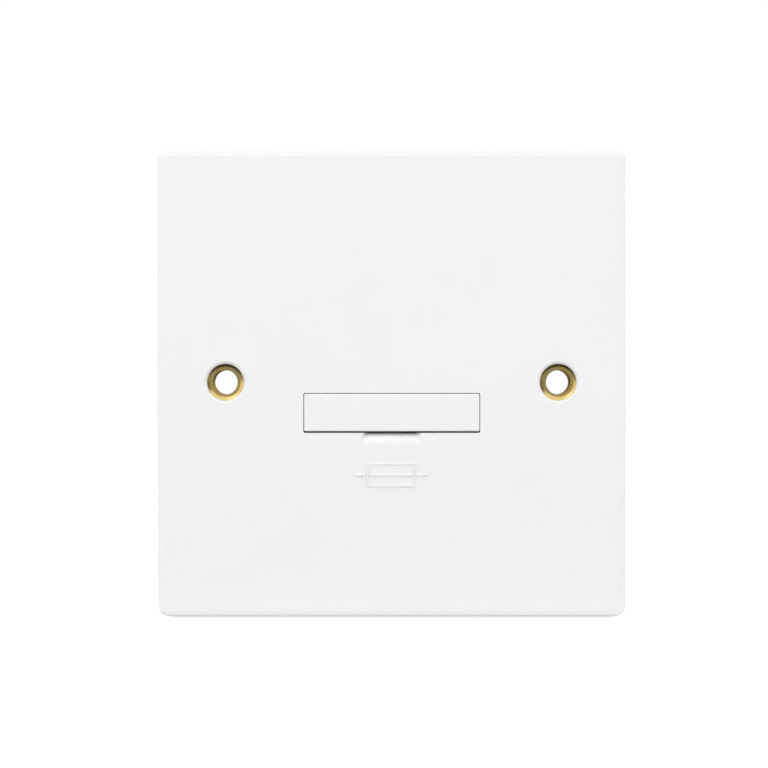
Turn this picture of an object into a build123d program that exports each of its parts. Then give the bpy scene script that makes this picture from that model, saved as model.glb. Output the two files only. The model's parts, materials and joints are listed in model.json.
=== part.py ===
from build123d import *
from math import radians, tan
import os

# Fused spur unit: a single square wall plate with a draw-out fuse carrier, and behind it
# the insulating base with its fuse clips, tunnel terminals and earth strap.
# Millimetres. X is to the right, Y points into the wall and Z is up.
# The origin lies on the wall plane, midway between the two fixing holes.

os.makedirs("parts", exist_ok=True)

# Plate
PLATE_SIDE = 86.0        # outline of the rim that meets the wall
PLATE_DEPTH = 9.0        # wall plane to front face
PLATE_DRAFT = 4.0        # degrees that the sides lean in towards the front
FACE_CORNER = 1.85       # corner radius of the front face
FACE_BEVEL = 1.35        # width of the gentle bevel that borders the front face
FACE_FALL = 10.0         # degrees that this bevel falls away
FACE_EDGE = 0.5          # rounding of the front edge
FACE_WALL = 2.6          # thickness behind the front face
RIM_WALL = 2.2           # thickness of the sides
RIB = 1.4                # thickness of the stiffening ribs
RIB_HEIGHT = 1.9         # how far those ribs stand up from the back of the face
RIB_SPACING = 28.0       # from one stiffening rib to the next

# Fixing holes and their eyelets
FIXING_PITCH = 60.3
EYELET_BORE = 4.4
EYELET_WALL = 0.5
EYELET_FLANGE = 6.4      # outside diameter of the flared front rim and of the clinched rear rim
EYELET_FLARE = 0.9       # bevel of the mouth
EYELET_RIM = 0.8         # thickness of the flared front rim
EYELET_SUNK = 0.5        # top of the flared rim below the plate's face
EYELET_CLINCH = 0.5      # thickness of the clinched rear rim
RECESS_GAP = 0.06        # flared rim to the wall of its recess
RECESS_LIP = 0.48        # bevel of the recess's edge
BOSS_WALL = 1.2          # boss wall outside the recess

# Cartridge fuse
FUSE_LENGTH = 25.4
FUSE_CAP_DIAMETER = 6.35
FUSE_CAP_LENGTH = 5.6
FUSE_CAP_WALL = 0.3
FUSE_CAP_FIT = 0.03      # cap to tube
FUSE_TUBE_BORE = 3.2
FUSE_WIRE = 0.5          # diameter of the fusible wire
FUSE_DROP = 5.35         # fuse axis below the line of the fixing holes

# Fuse carrier, a drawer that slides towards the front
CARRIER_FACE = 2.0       # thickness of its front
CARRIER_EDGE = 0.2       # rounding of its front edge
CARRIER_CORNER = 0.25    # corner radius of its front
CARRIER_GAP = 0.12       # running gap at the top and sides
CARRIER_SAG = 0.3        # gap underneath, where its weight takes it
CARRIER_BROW = 0.1       # carrier above the fuse caps
CARRIER_TRAVEL = 9.5     # how far it draws out
CARRIER_ARM = 1.5        # thickness of its side arms
STOP_WALL = 1.5          # what locates the ends of the fuse, inside each arm
FUSE_END_GAP = 0.2       # fuse end to that stop
FUSE_SETBACK = 0.3       # fuse caps behind the carrier's front
LUG_REACH = 0.6          # catch on each arm, outside the arm
LUG_LENGTH = 1.4
LUG_HEIGHT = 3.0
LUG_GAP = 0.1            # catch to the back of the plate when fully drawn
SADDLE_FLOOR = 0.64      # under the fuse tube
SADDLE_WALL = 1.0        # behind the fuse tube
SADDLE_RISE = 0.5        # top of that wall above the fuse axis
SADDLE_SEAT = 0.05       # fuse tube to its saddle
SADDLE_CLEAR = 0.6       # saddle to the nearer edge of each cap
LEVER_WIDTH = 9.6        # groove under the front for a screwdriver tip
LEVER_LIP = 0.7
LEVER_SLOT = 0.8
LEVER_DEPTH = 0.7

# Opening for the carrier, and the finger notch under it
APERTURE_CORNER = 0.3
NOTCH_WIDTH = 10.6
NOTCH_HEIGHT = 2.25
NOTCH_SLOPE = 12.0       # degrees that its ramp sinks towards the carrier
NOTCH_ROUND = 2.1        # rounding of the ramp into the opening
NOTCH_DRAFT = 25.0       # degrees that its sides lean in
RAIL = 1.2               # wall above and below the carrier, behind the face
COLLAR_DEPTH = 1.2       # that wall in front of the fuse clips
GUIDE_DEPTH = 6.0        # that wall beside the arms

# Fuse clips and earth strap, all bent from one strip
STRIP = 0.6
CLIP_WIDTH = 4.6
CLIP_GAP = 0.1           # clip to fuse cap
CLIP_REACH = 1.2         # arms past the fuse axis
CLIP_FLARE = 0.5         # tips spread outwards
CLIP_FLARE_LENGTH = 0.9
CLIP_BEND = 0.4          # inside radius of the bends
STRAP_WIDTH = 6.0

# Terminals
BLOCK_WIDTH = 6.6
BLOCK_LENGTH = 10.5
BLOCK_DEPTH = 9.3
BLOCK_EDGE = 0.3
TUNNEL_BORE = 4.4        # wire entry
TUNNEL_WALL = 1.5        # brass in front of the tunnel
LINK_DEPTH = 3.0         # bridge between the two blocks of a bar
SCREW = 3.5
SCREW_HEAD = 6.0
SCREW_HEAD_HEIGHT = 1.8
SCREW_SLOT = 1.0
SCREW_SLOT_DEPTH = 0.9
SCREW_BACK_OFF = 0.2     # tip behind the tunnel, with the screw slackened
SCREW_PINCH = 1.0        # tip short of the tunnel's far side, with the screw tightened
SCREW_HEAD_GAP = 0.3     # head behind the terminal, with the screw tightened

# Insulating base
BASE_WALL = 1.5
BASE_CORNER = 1.5
BASE_EDGE = 0.8          # bevel round its rear face
BARRIER = 1.2            # walls between the pockets
POCKET_GAP = 0.3         # round what moves
FIT = 0.15               # round what stands still
SLIP = 0.05              # round a shank or an eyelet in its hole
ENTRY_LEAD = 0.2         # square wire entry, outside the tunnel all round
ENTRY_FLARE = 20.0       # degrees that it opens outwards
ACCESS_GAP = 0.3         # round a screw head
LOCATOR = 1.2            # rib on the plate that frames the base
LOCATOR_HEIGHT = 1.6
BOSS_RELIEF = 0.5        # base to the fixing bosses
BASE_SCREW = 2.5
BASE_SCREW_CLEAR = 0.4   # hole wider than the screw
BASE_SCREW_HEAD = 5.4
BASE_SCREW_HEAD_HEIGHT = 1.6
BASE_SCREW_HEAD_CLEAR = 0.6
BASE_SCREW_SLOT = 0.8
BASE_SCREW_SLOT_DEPTH = 0.7
BASE_SCREW_BITE = 4.4    # screw in the plate's pillar
BASE_SCREW_SPARE = 0.6   # pilot hole past the screw's end
PILLAR_HEIGHT = 5.4      # plate's pillar, up from the back of the face
PILLAR_WALL = 1.7
SEAT_WALL = 2.0          # base under the screw head
COUNTERBORE_WALL = 1.2

# Depths, front to back
y_face = -PLATE_DEPTH
y_back = y_face + FACE_WALL
cap_radius = FUSE_CAP_DIAMETER / 2
tube_radius = cap_radius - FUSE_CAP_WALL - FUSE_CAP_FIT
y_carrier_back = y_face + CARRIER_FACE
y_fuse = y_carrier_back + FUSE_SETBACK + cap_radius
y_strip = y_fuse + cap_radius + CLIP_GAP
y_block = y_strip + STRIP
y_block_rear = y_block + BLOCK_DEPTH
y_base_rear = y_block_rear + BASE_WALL
y_tunnel = y_block + TUNNEL_WALL + TUNNEL_BORE / 2
y_lug = y_back + CARRIER_TRAVEL + LUG_GAP
y_arm_rear = y_lug + LUG_LENGTH
y_clinch = -EYELET_CLINCH
y_joint = y_back + PILLAR_HEIGHT
y_screw_seat = y_joint + SEAT_WALL
y_screw_tip = y_tunnel + TUNNEL_BORE / 2 + SCREW_BACK_OFF
screw_travel = TUNNEL_BORE + SCREW_BACK_OFF - SCREW_PINCH
y_screw_head = y_block_rear + SCREW_HEAD_GAP + screw_travel

# Heights
z_fuse = -FUSE_DROP
z_carrier_top = z_fuse + cap_radius + CARRIER_BROW
z_carrier_foot = z_fuse - tube_radius - SADDLE_SEAT - SADDLE_FLOOR
z_aperture_top = z_carrier_top + CARRIER_GAP
z_aperture_foot = z_carrier_foot - CARRIER_SAG
carrier_height = z_carrier_top - z_carrier_foot
carrier_middle = (z_carrier_top + z_carrier_foot) / 2
aperture_height = z_aperture_top - z_aperture_foot
aperture_middle = (z_aperture_top + z_aperture_foot) / 2
pocket_half_height = max(z_aperture_top - z_fuse, z_fuse - z_aperture_foot) + RAIL + POCKET_GAP
block_start = pocket_half_height + BARRIER + FIT
block_end = block_start + BLOCK_LENGTH
block_middle = (block_start + block_end) / 2
base_half_height = block_end + FIT + BASE_WALL

# Widths
fixing_x = FIXING_PITCH / 2
bore_radius = EYELET_BORE / 2
eyelet_radius = bore_radius + EYELET_WALL
flange_radius = EYELET_FLANGE / 2
recess_radius = flange_radius + RECESS_GAP
boss_radius = recess_radius + BOSS_WALL
fuse_half = FUSE_LENGTH / 2
stop_x = fuse_half + FUSE_END_GAP
arm_x = stop_x + STOP_WALL
carrier_half = arm_x + CARRIER_ARM
aperture_half = carrier_half + CARRIER_GAP
saddle_half = fuse_half - FUSE_CAP_LENGTH - SADDLE_CLEAR
line_x = fuse_half - FUSE_CAP_LENGTH / 2
side_x = line_x + BLOCK_WIDTH + BARRIER + 2 * FIT
side_outer = side_x + BLOCK_WIDTH / 2
pocket_half = carrier_half + LUG_REACH + POCKET_GAP
link_inner = pocket_half + BARRIER + FIT
link_middle = (link_inner + side_outer) / 2
base_inner = side_outer + FIT
base_half = base_inner + BASE_WALL
spare_inner = -side_x + BLOCK_WIDTH / 2 + FIT + BARRIER
spare_outer = line_x - BLOCK_WIDTH / 2 - FIT - BARRIER
pillar_x = (spare_inner + spare_outer) / 2
draft_slope = tan(radians(PLATE_DRAFT))

# Each terminal: its name, its column and its row, with the supply row above the fuse
SUPPLY = 1
LOAD = -1
TERMINALS = [
    ("line_supply", line_x, SUPPLY),
    ("line_load", -line_x, LOAD),
    ("neutral_supply", -side_x, SUPPLY),
    ("neutral_load", -side_x, LOAD),
    ("earth_supply", side_x, SUPPLY),
    ("earth_load", side_x, LOAD),
]
SCREW_TURN = 35.0        # degrees between the slots of one screw and the next
PILLARS = [(pillar_x, z_fuse + block_middle), (-pillar_x, z_fuse - block_middle)]


def at_depth(y):
    """Upright plane at depth y: sketches are in X and Z, and extrusions run to the front."""
    return Plane.XZ.offset(-y)


def save(piece, name):
    piece.label = name
    export_step(piece, f"parts/{name}.step")


# Finger notch to be cut under the carrier: a shallow ramp that rounds over into the opening
with BuildPart() as finger_notch:
    z_notch_foot = z_aperture_foot - NOTCH_HEIGHT
    y_ramp = y_face + NOTCH_HEIGHT * tan(radians(NOTCH_SLOPE))
    with BuildSketch(Plane.YZ):
        with BuildLine():
            FilletPolyline(
                (y_face, z_notch_foot),
                (y_ramp, z_aperture_foot),
                (y_back, z_aperture_foot),
                radius=NOTCH_ROUND,
            )
            Polyline(
                (y_back, z_aperture_foot),
                (y_back, z_carrier_foot),
                (y_face, z_carrier_foot),
                (y_face, z_notch_foot),
            )
        make_face()
    extrude(amount=NOTCH_WIDTH / 2, both=True)

    # Sides that lean in, from a block that is taller than the notch
    block_height = 3 * NOTCH_HEIGHT
    lean = FACE_WALL * tan(radians(NOTCH_DRAFT))
    with Locations((0, y_face, z_aperture_foot)):
        Wedge(
            NOTCH_WIDTH,
            FACE_WALL,
            block_height,
            lean,
            0,
            NOTCH_WIDTH - lean,
            block_height,
            align=(Align.CENTER, Align.MIN, Align.CENTER),
            mode=Mode.INTERSECT,
        )

# Front plate: one moulding, hollow behind
y_flange = y_face + EYELET_SUNK
recess_floor = y_flange + EYELET_RIM
boss_rears = {-1: y_clinch, 1: y_clinch - STRIP}
rim_overlap = RIM_WALL / 2
rib_outer = PLATE_SIDE / 2 - rim_overlap

with BuildPart() as front_plate:
    with BuildSketch(at_depth(0)):
        RectangleRounded(PLATE_SIDE, PLATE_SIDE, FACE_CORNER + PLATE_DEPTH * draft_slope)
    extrude(amount=PLATE_DEPTH, taper=PLATE_DRAFT)
    face = front_plate.faces().sort_by(Axis.Y)[0]
    face_drop = FACE_BEVEL * tan(radians(FACE_FALL))
    chamfer(face.edges(), FACE_BEVEL, face_drop, reference=face)
    bevel_edges = front_plate.edges().filter_by_position(Axis.Y, y_face + face_drop / 2, y_back)
    fillet(bevel_edges, FACE_EDGE)
    with BuildSketch(at_depth(0)):
        hollow_side = PLATE_SIDE - 2 * RIM_WALL
        Rectangle(hollow_side, hollow_side)
    extrude(amount=-y_back, taper=PLATE_DRAFT, mode=Mode.SUBTRACT)

    # Bosses for the eyelets, each ribbed out to the rim
    for side, boss_rear in boss_rears.items():
        with BuildSketch(at_depth(boss_rear)):
            with Locations((side * fixing_x, 0)):
                Circle(boss_radius)
        extrude(amount=boss_rear - y_back)
        with BuildSketch(at_depth(y_back + LOCATOR_HEIGHT + RIB_HEIGHT)):
            with Locations((side * (fixing_x + rib_outer) / 2, 0)):
                Rectangle(rib_outer - fixing_x, RIB)
        extrude(amount=LOCATOR_HEIGHT + RIB_HEIGHT)

    # Frame that locates the base, and stiffening ribs from it to the rim
    frame_half = base_half + FIT + LOCATOR
    frame_half_height = base_half_height + FIT + LOCATOR
    with BuildSketch(at_depth(y_back + LOCATOR_HEIGHT)):
        with Locations((0, z_fuse)):
            Rectangle(2 * frame_half, 2 * frame_half_height)
            Rectangle(2 * (base_half + FIT), 2 * (base_half_height + FIT), mode=Mode.SUBTRACT)
    extrude(amount=LOCATOR_HEIGHT)
    with BuildSketch(at_depth(y_back + RIB_HEIGHT)):
        for up in (-1, 1):
            frame_edge = z_fuse + up * frame_half_height
            rim_edge = up * rib_outer
            with Locations((0, (frame_edge + rim_edge) / 2)):
                with GridLocations(RIB_SPACING, 1, 2, 1):
                    Rectangle(RIB, abs(rim_edge - frame_edge))
    extrude(amount=RIB_HEIGHT)

    # Pillars for the base screws
    pillar_radius = BASE_SCREW / 2 + PILLAR_WALL
    with BuildSketch(at_depth(y_joint)):
        with Locations(*PILLARS):
            Circle(pillar_radius)
    extrude(amount=PILLAR_HEIGHT)
    with BuildSketch(at_depth(y_joint)):
        with Locations(*PILLARS):
            Circle(BASE_SCREW / 2)
    extrude(amount=BASE_SCREW_BITE + BASE_SCREW_SPARE, mode=Mode.SUBTRACT)

    # Collar above and below the carrier, deeper beside its arms
    with BuildSketch(at_depth(y_back + COLLAR_DEPTH)):
        with Locations((0, aperture_middle)):
            Rectangle(2 * aperture_half, aperture_height + 2 * RAIL)
    extrude(amount=COLLAR_DEPTH)
    with BuildSketch(at_depth(y_back + GUIDE_DEPTH)):
        with Locations((0, aperture_middle)):
            Rectangle(2 * aperture_half, aperture_height + 2 * RAIL)
            Rectangle(2 * stop_x, aperture_height + 2 * RAIL, mode=Mode.SUBTRACT)
    extrude(amount=GUIDE_DEPTH)
    with BuildSketch(at_depth(y_back + GUIDE_DEPTH)):
        with Locations((0, aperture_middle)):
            RectangleRounded(2 * aperture_half, aperture_height, APERTURE_CORNER)
    extrude(amount=GUIDE_DEPTH + FACE_WALL, mode=Mode.SUBTRACT)

    add(finger_notch.part, mode=Mode.SUBTRACT)

    # Recess and hole for each eyelet
    for side, boss_rear in boss_rears.items():
        with BuildSketch(at_depth(recess_floor)):
            with Locations((side * fixing_x, 0)):
                Circle(recess_radius)
        extrude(amount=recess_floor - y_face, mode=Mode.SUBTRACT)
        with BuildSketch(at_depth(boss_rear)):
            with Locations((side * fixing_x, 0)):
                Circle(eyelet_radius + SLIP)
        extrude(amount=boss_rear - recess_floor, mode=Mode.SUBTRACT)
    face_circles = front_plate.edges().group_by(Axis.Y)[0].filter_by(GeomType.CIRCLE)
    recess_edges = face_circles.filter_by_position(Axis.Z, -recess_radius / 2, recess_radius / 2)
    chamfer(recess_edges, RECESS_LIP)

save(front_plate.part, "front_plate")


# Insulating base: a tray of pockets that opens towards the plate
with BuildPart() as rear_base:
    with BuildSketch(at_depth(y_base_rear)):
        with Locations((0, z_fuse)):
            RectangleRounded(2 * base_half, 2 * base_half_height, BASE_CORNER)
    extrude(amount=y_base_rear - y_back)
    chamfer(rear_base.faces().sort_by(Axis.Y)[-1].edges(), BASE_EDGE)

    # Pockets for the fuse, the terminals, the bridges between them and the spare corners
    with BuildSketch(at_depth(y_block_rear)):
        with Locations((0, z_fuse)):
            Rectangle(2 * pocket_half, 2 * pocket_half_height)
        for name, column, row in TERMINALS:
            with Locations((column, z_fuse + row * block_middle)):
                Rectangle(BLOCK_WIDTH + 2 * FIT, BLOCK_LENGTH + 2 * FIT)
        for side in (-1, 1):
            with Locations((side * link_middle, z_fuse)):
                Rectangle(side_outer - link_inner + 2 * FIT, 2 * block_middle)
        for column, height in PILLARS:
            with Locations((column, height)):
                Rectangle(spare_outer - spare_inner, BLOCK_LENGTH + 2 * FIT)
    extrude(amount=y_block_rear - y_back, mode=Mode.SUBTRACT)

    # Gaps in the inner walls where the clips pass, and in the side for the earth strap
    with BuildSketch(at_depth(y_block)):
        for row in (SUPPLY, LOAD):
            with Locations((row * line_x, z_fuse + row * (block_start + pocket_half_height) / 2)):
                Rectangle(CLIP_WIDTH + 2 * FIT, block_start - pocket_half_height)
        with Locations(((base_inner + base_half) / 2, 0)):
            Rectangle(BASE_WALL, STRAP_WIDTH + 2 * FIT)
    extrude(amount=y_block - y_back, mode=Mode.SUBTRACT)

    # Stands behind the clips, and the bridges that meet the plate's pillars
    with BuildSketch(at_depth(y_block_rear)):
        with Locations((-line_x, z_fuse), (line_x, z_fuse)):
            Rectangle(CLIP_WIDTH, 2 * cap_radius)
    extrude(amount=y_block_rear - y_block)
    counterbore_radius = (BASE_SCREW_HEAD + BASE_SCREW_HEAD_CLEAR) / 2
    with BuildSketch(at_depth(y_block_rear)):
        with Locations(*PILLARS):
            Rectangle(2 * (counterbore_radius + COUNTERBORE_WALL), BLOCK_LENGTH + 2 * FIT)
    extrude(amount=y_block_rear - y_joint)
    with BuildSketch(at_depth(y_base_rear)):
        with Locations(*PILLARS):
            Circle(counterbore_radius)
    extrude(amount=y_base_rear - y_screw_seat, mode=Mode.SUBTRACT)
    with BuildSketch(at_depth(y_screw_seat)):
        with Locations(*PILLARS):
            Circle((BASE_SCREW + BASE_SCREW_CLEAR) / 2)
    extrude(amount=SEAT_WALL, mode=Mode.SUBTRACT)

    # Windows for the terminal screws, and a flared entry for each wire
    window = SCREW_HEAD + 2 * ACCESS_GAP
    with BuildSketch(at_depth(y_base_rear)):
        for name, column, row in TERMINALS:
            with Locations((column, z_fuse + row * block_middle)):
                Rectangle(window, window)
    extrude(amount=BASE_WALL, mode=Mode.SUBTRACT)
    for name, column, row in TERMINALS:
        with BuildSketch(Plane.XY.offset(z_fuse + row * (block_end + FIT))):
            with Locations((column, y_tunnel)):
                Rectangle(TUNNEL_BORE + 2 * ENTRY_LEAD, TUNNEL_BORE + 2 * ENTRY_LEAD)
        extrude(amount=row * BASE_WALL, taper=-ENTRY_FLARE, mode=Mode.SUBTRACT)

    # Hollows in the sides that clear the fixing bosses
    with BuildSketch(at_depth(y_base_rear)):
        with Locations((-fixing_x, 0), (fixing_x, 0)):
            Circle(boss_radius + BOSS_RELIEF)
    extrude(amount=y_base_rear - y_back, mode=Mode.SUBTRACT)

save(rear_base.part, "rear_base")


# Fuse carrier: face, two sprung arms with catches, end stops and a saddle for the fuse
with BuildPart() as fuse_carrier:
    with BuildSketch(at_depth(y_carrier_back)):
        with Locations((0, carrier_middle)):
            RectangleRounded(2 * carrier_half, carrier_height, CARRIER_CORNER)
    extrude(amount=CARRIER_FACE)
    fillet(fuse_carrier.faces().sort_by(Axis.Y)[0].edges(), CARRIER_EDGE)

    # The arms, then the stops, share the outline of the face and differ in where they end
    for inner, rear in ((arm_x, y_arm_rear), (stop_x, y_fuse + cap_radius / 2)):
        with BuildSketch(at_depth(rear)):
            with Locations((0, carrier_middle)):
                RectangleRounded(2 * carrier_half, carrier_height, CARRIER_CORNER)
                Rectangle(2 * inner, carrier_height, mode=Mode.SUBTRACT)
        extrude(amount=rear - y_carrier_back)

    # Catches on the arms: square towards the plate, sloped behind
    with BuildSketch(Plane.XY.offset(carrier_middle - LUG_HEIGHT / 2)):
        for side in (-1, 1):
            with BuildLine():
                Polyline(
                    (side * carrier_half, y_lug),
                    (side * (carrier_half + LUG_REACH), y_lug),
                    (side * carrier_half, y_arm_rear),
                    close=True,
                )
            make_face()
    extrude(amount=LUG_HEIGHT)

    # Saddle between the caps, open above so that the fuse lifts out
    y_saddle_rear = y_fuse + tube_radius + SADDLE_SEAT + SADDLE_WALL
    trough_radius = tube_radius + SADDLE_SEAT
    saddle_height = z_fuse + SADDLE_RISE - z_carrier_foot
    with BuildSketch(at_depth(y_saddle_rear)):
        with Locations((0, z_carrier_foot)):
            Rectangle(2 * saddle_half, saddle_height, align=(Align.CENTER, Align.MIN))
    extrude(amount=y_saddle_rear - y_carrier_back)
    with BuildSketch(Plane.YZ.offset(-saddle_half)):
        with Locations((y_fuse, z_fuse)):
            Circle(trough_radius)
            Rectangle(2 * trough_radius, cap_radius, align=(Align.CENTER, Align.MIN))
    extrude(amount=2 * saddle_half, mode=Mode.SUBTRACT)

    # Groove under the front that a screwdriver tip catches in
    with BuildSketch(Plane.XY.offset(z_carrier_foot)):
        with Locations((0, y_face + LEVER_LIP)):
            Rectangle(LEVER_WIDTH, LEVER_SLOT, align=(Align.CENTER, Align.MIN))
    extrude(amount=LEVER_DEPTH, mode=Mode.SUBTRACT)

save(fuse_carrier.part, "fuse_carrier")


# Cartridge fuse: ceramic tube, a cap on each end and the wire between them
tube_half = fuse_half - FUSE_CAP_WALL
with BuildPart() as fuse_tube:
    with BuildSketch(Plane.YZ.offset(-tube_half)):
        with Locations((y_fuse, z_fuse)):
            Circle(tube_radius)
            Circle(FUSE_TUBE_BORE / 2, mode=Mode.SUBTRACT)
    extrude(amount=2 * tube_half)
save(fuse_tube.part, "fuse_tube")

for cap_name, end in (("fuse_cap_left", -1), ("fuse_cap_right", 1)):
    with BuildPart() as fuse_cap:
        with BuildSketch(Plane.YZ.offset(end * (fuse_half - FUSE_CAP_LENGTH))):
            with Locations((y_fuse, z_fuse)):
                Circle(cap_radius)
        extrude(amount=end * FUSE_CAP_LENGTH)
        with BuildSketch(Plane.YZ.offset(end * (fuse_half - FUSE_CAP_LENGTH))):
            with Locations((y_fuse, z_fuse)):
                Circle(tube_radius + FUSE_CAP_FIT)
        extrude(amount=end * (FUSE_CAP_LENGTH - FUSE_CAP_WALL), mode=Mode.SUBTRACT)
    save(fuse_cap.part, cap_name)

with BuildPart() as fuse_element:
    with BuildSketch(Plane.YZ.offset(-tube_half)):
        with Locations((y_fuse, z_fuse)):
            Circle(FUSE_WIRE / 2)
    extrude(amount=2 * tube_half)
save(fuse_element.part, "fuse_element")


# Fuse clips: a strip that lies on its terminal, with two flared arms round the cap
arm_inner = cap_radius + CLIP_GAP
arm_outer = arm_inner + STRIP
y_clip_tip = y_fuse - CLIP_REACH
y_flare = y_clip_tip + CLIP_FLARE_LENGTH
clip_end = block_end - BLOCK_EDGE

for clip_name, row in (("line_supply_clip", SUPPLY), ("line_load_clip", LOAD)):
    with BuildPart() as fuse_clip:
        with BuildSketch(Plane.YZ.offset(row * line_x - CLIP_WIDTH / 2)):
            with BuildLine():
                Polyline(
                    (y_clip_tip, z_fuse - row * (arm_inner + CLIP_FLARE)),
                    (y_flare, z_fuse - row * arm_inner),
                    (y_strip, z_fuse - row * arm_inner),
                    (y_strip, z_fuse + row * arm_inner),
                    (y_flare, z_fuse + row * arm_inner),
                    (y_clip_tip, z_fuse + row * (arm_inner + CLIP_FLARE)),
                    (y_clip_tip, z_fuse + row * (arm_outer + CLIP_FLARE)),
                    (y_flare, z_fuse + row * arm_outer),
                    (y_strip, z_fuse + row * arm_outer),
                    (y_strip, z_fuse + row * clip_end),
                    (y_block, z_fuse + row * clip_end),
                    (y_block, z_fuse - row * arm_outer),
                    (y_flare, z_fuse - row * arm_outer),
                    (y_clip_tip, z_fuse - row * (arm_outer + CLIP_FLARE)),
                    close=True,
                )
            make_face()
        extrude(amount=CLIP_WIDTH)
        bends = [
            (y_block, -arm_outer, CLIP_BEND + STRIP),
            (y_strip, -arm_inner, CLIP_BEND),
            (y_strip, arm_inner, CLIP_BEND),
            (y_strip, arm_outer, CLIP_BEND),
        ]
        for depth, offset_from_fuse, bend_radius in bends:
            bend = (row * line_x, depth, z_fuse + row * offset_from_fuse)
            fillet(fuse_clip.edges().filter_by(Axis.X).sort_by_distance(bend)[0], bend_radius)
    save(fuse_clip.part, clip_name)


def brass_terminal(name, column, rows):
    """One terminal block, or two joined by a bridge, each with a wire tunnel and a screw hole into it."""
    side = 1 if column > 0 else -1
    with BuildPart() as brass:
        with BuildSketch(at_depth(y_block_rear)):
            for row in rows:
                with Locations((column, z_fuse + row * block_middle)):
                    Rectangle(BLOCK_WIDTH, BLOCK_LENGTH)
        extrude(amount=BLOCK_DEPTH)
        chamfer(brass.edges().group_by(Axis.Y)[-1], BLOCK_EDGE)
        if len(rows) > 1:
            with BuildSketch(at_depth(y_block + LINK_DEPTH)):
                with Locations((side * link_middle, z_fuse)):
                    Rectangle(side_outer - link_inner, 2 * block_start)
            extrude(amount=LINK_DEPTH)
        for row in rows:
            with BuildSketch(Plane.XY.offset(z_fuse + row * block_middle - BLOCK_LENGTH / 2)):
                with Locations((column, y_tunnel)):
                    Circle(TUNNEL_BORE / 2)
            extrude(amount=BLOCK_LENGTH, mode=Mode.SUBTRACT)
        with BuildSketch(at_depth(y_block_rear)):
            for row in rows:
                with Locations((column, z_fuse + row * block_middle)):
                    Circle(SCREW / 2 + SLIP)
        extrude(amount=y_block_rear - y_tunnel, mode=Mode.SUBTRACT)
    save(brass.part, name)


# Each line terminal carries one fuse clip, and the earth bar carries the strap
brass_terminal("line_supply_terminal", line_x, [SUPPLY])
brass_terminal("line_load_terminal", -line_x, [LOAD])
brass_terminal("neutral_bar", -side_x, [SUPPLY, LOAD])
brass_terminal("earth_bar", side_x, [SUPPLY, LOAD])


# Earth strap: from the earth bar out through the side of the base, then clinched under the right eyelet
strap_end = fixing_x + STRAP_WIDTH / 2
strap_front = boss_rears[1]
with BuildPart() as earth_strap:
    with BuildSketch(Plane.XY.offset(-STRAP_WIDTH / 2)):
        with BuildLine():
            Polyline(
                (link_inner, y_strip),
                (base_inner, y_strip),
                (fixing_x - boss_radius, strap_front),
                (strap_end, strap_front),
                (strap_end, y_clinch),
                (fixing_x - boss_radius, y_clinch),
                (base_inner, y_block),
                (link_inner, y_block),
                close=True,
            )
        make_face()
    extrude(amount=STRAP_WIDTH)
    end_corners = earth_strap.edges().filter_by(Axis.Y).group_by(Axis.X)[-1]
    fillet(end_corners, 0.48 * STRAP_WIDTH)
    with BuildSketch(at_depth(y_clinch)):
        with Locations((fixing_x, 0)):
            Circle(eyelet_radius + SLIP)
    extrude(amount=STRIP, mode=Mode.SUBTRACT)
save(earth_strap.part, "earth_strap")


# Eyelets: flared in front, clinched behind
for eyelet_name, side in (("eyelet_left", -1), ("eyelet_right", 1)):
    centre = side * fixing_x
    with BuildPart() as eyelet:
        with BuildSketch(Plane.XY):
            with BuildLine():
                Polyline(
                    (centre + bore_radius, 0),
                    (centre + bore_radius, y_flange + EYELET_FLARE),
                    (centre + bore_radius + EYELET_FLARE, y_flange),
                    (centre + flange_radius, y_flange),
                    (centre + flange_radius, recess_floor),
                    (centre + eyelet_radius, recess_floor),
                    (centre + eyelet_radius, y_clinch),
                    (centre + flange_radius, y_clinch),
                    (centre + flange_radius, 0),
                    close=True,
                )
            make_face()
        revolve(axis=Axis((centre, 0, 0), (0, 1, 0)))
    save(eyelet.part, eyelet_name)


# Terminal screws: slotted cheese heads, slackened off as supplied
for number, (terminal, column, row) in enumerate(TERMINALS):
    height = z_fuse + row * block_middle
    with BuildPart() as terminal_screw:
        with BuildSketch(at_depth(y_screw_head)):
            with Locations((column, height)):
                Circle(SCREW / 2)
        extrude(amount=y_screw_head - y_screw_tip)
        with BuildSketch(at_depth(y_screw_head + SCREW_HEAD_HEIGHT)):
            with Locations((column, height)):
                Circle(SCREW_HEAD / 2)
        extrude(amount=SCREW_HEAD_HEIGHT)
        with BuildSketch(at_depth(y_screw_head + SCREW_HEAD_HEIGHT)):
            with Locations((column, height)):
                Rectangle(SCREW_HEAD, SCREW_SLOT, rotation=number * SCREW_TURN)
        extrude(amount=SCREW_SLOT_DEPTH, mode=Mode.SUBTRACT)
    save(terminal_screw.part, f"{terminal}_screw")


# Base screws: two alike, through the base into the plate's pillars
with BuildPart() as base_screws:
    with BuildSketch(at_depth(y_screw_seat)):
        with Locations(*PILLARS):
            Circle(BASE_SCREW / 2 - SLIP)
    extrude(amount=SEAT_WALL + BASE_SCREW_BITE)
    with BuildSketch(at_depth(y_screw_seat + BASE_SCREW_HEAD_HEIGHT)):
        with Locations(*PILLARS):
            Circle(BASE_SCREW_HEAD / 2)
    extrude(amount=BASE_SCREW_HEAD_HEIGHT)
    with BuildSketch(at_depth(y_screw_seat + BASE_SCREW_HEAD_HEIGHT)):
        with Locations(*PILLARS):
            Rectangle(BASE_SCREW_HEAD, BASE_SCREW_SLOT, rotation=SCREW_TURN)
    extrude(amount=BASE_SCREW_SLOT_DEPTH, mode=Mode.SUBTRACT)
save(base_screws.part, "base_screws")
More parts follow.
